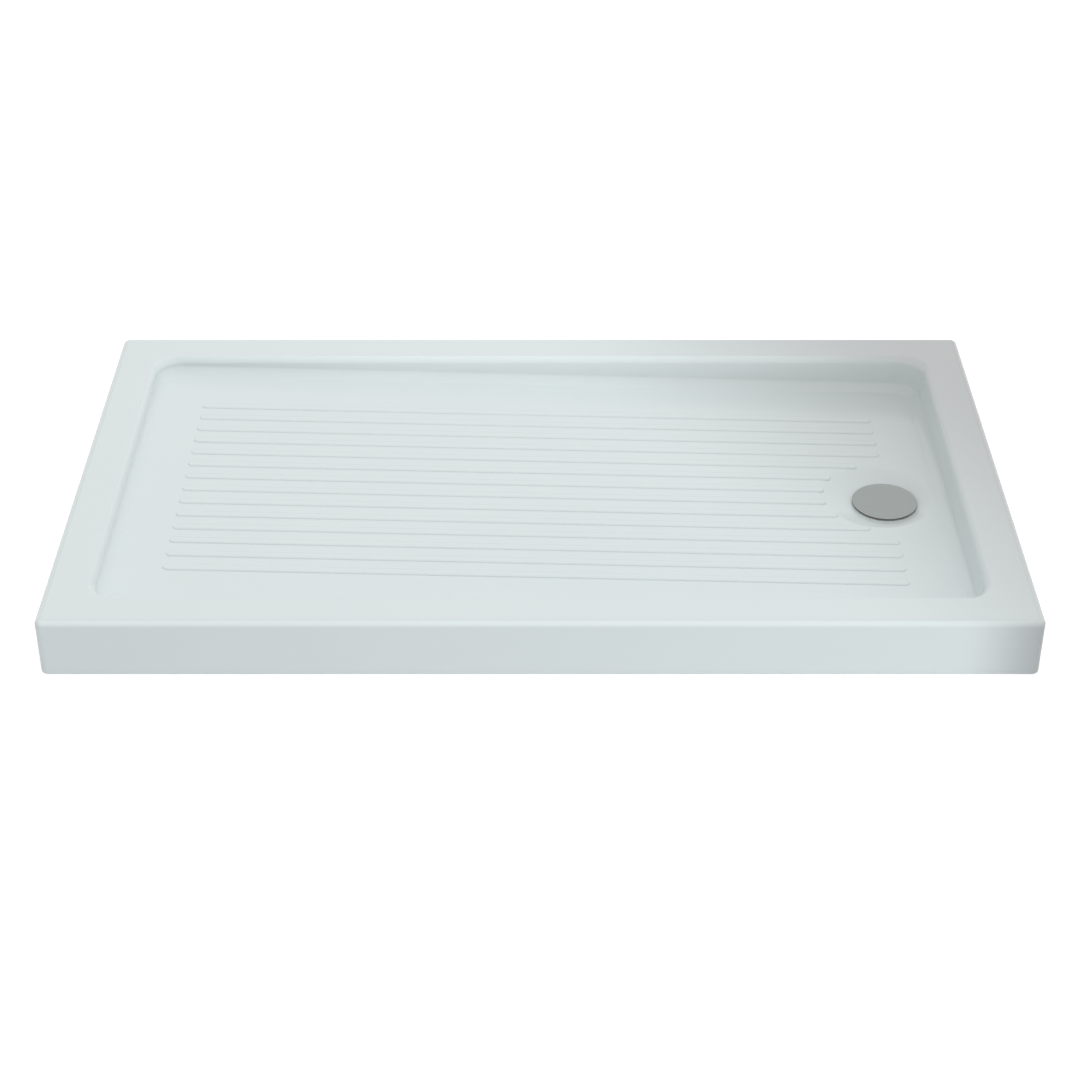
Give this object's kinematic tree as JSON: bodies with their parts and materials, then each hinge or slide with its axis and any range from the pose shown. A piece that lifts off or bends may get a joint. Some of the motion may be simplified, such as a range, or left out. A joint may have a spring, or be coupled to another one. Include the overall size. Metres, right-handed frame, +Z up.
{
  "type": "shower tray",
  "caption": "Rectangular ceramic shower tray with a broad flat rim, a ribbed anti-slip floor that falls to a trapped waste, and a round lift-off metal waste cover.",
  "frame": {"origin": "middle of the plane on which the tray's skirt and webs are bedded, under the middle of the tray", "axes": "+X along the tray towards the waste end, +Y towards the back edge, +Z up"},
  "size_m": [1.2, 0.7, 0.1653],
  "materials": {
    "glazed_fireclay": "smooth white glaze, glossy",
    "cover_metal": "satin, fine brushed grain",
    "trap_plastic": "satin white polypropylene",
    "insert_plastic": "satin grey moulding",
    "seal_rubber": "matt black rubber"
  },
  "bodies": {
    "tray": {"tray_body": "glazed_fireclay", "flange_washer": "seal_rubber", "waste_flange": "trap_plastic", "body_washer": "seal_rubber", "trap_body": "trap_plastic", "outlet_nut": "trap_plastic", "outlet_slip_ring": "insert_plastic", "outlet_seal": "seal_rubber"},
    "insert": {"dip_tube": "insert_plastic", "dip_tube_seal": "seal_rubber"},
    "cover": {"cover_cap": "cover_metal", "cover_carrier": "insert_plastic"}
  },
  "joints": [
    {"name": "insert_lift", "type": "slide", "parent": "tray", "child": "insert", "axis": [0, 0, 1], "range_m": [0, 0.12]},
    {"name": "cover_lift", "type": "slide", "parent": "insert", "child": "cover", "axis": [0, 0, 1], "range_m": [0, 0.06]}
  ]
}
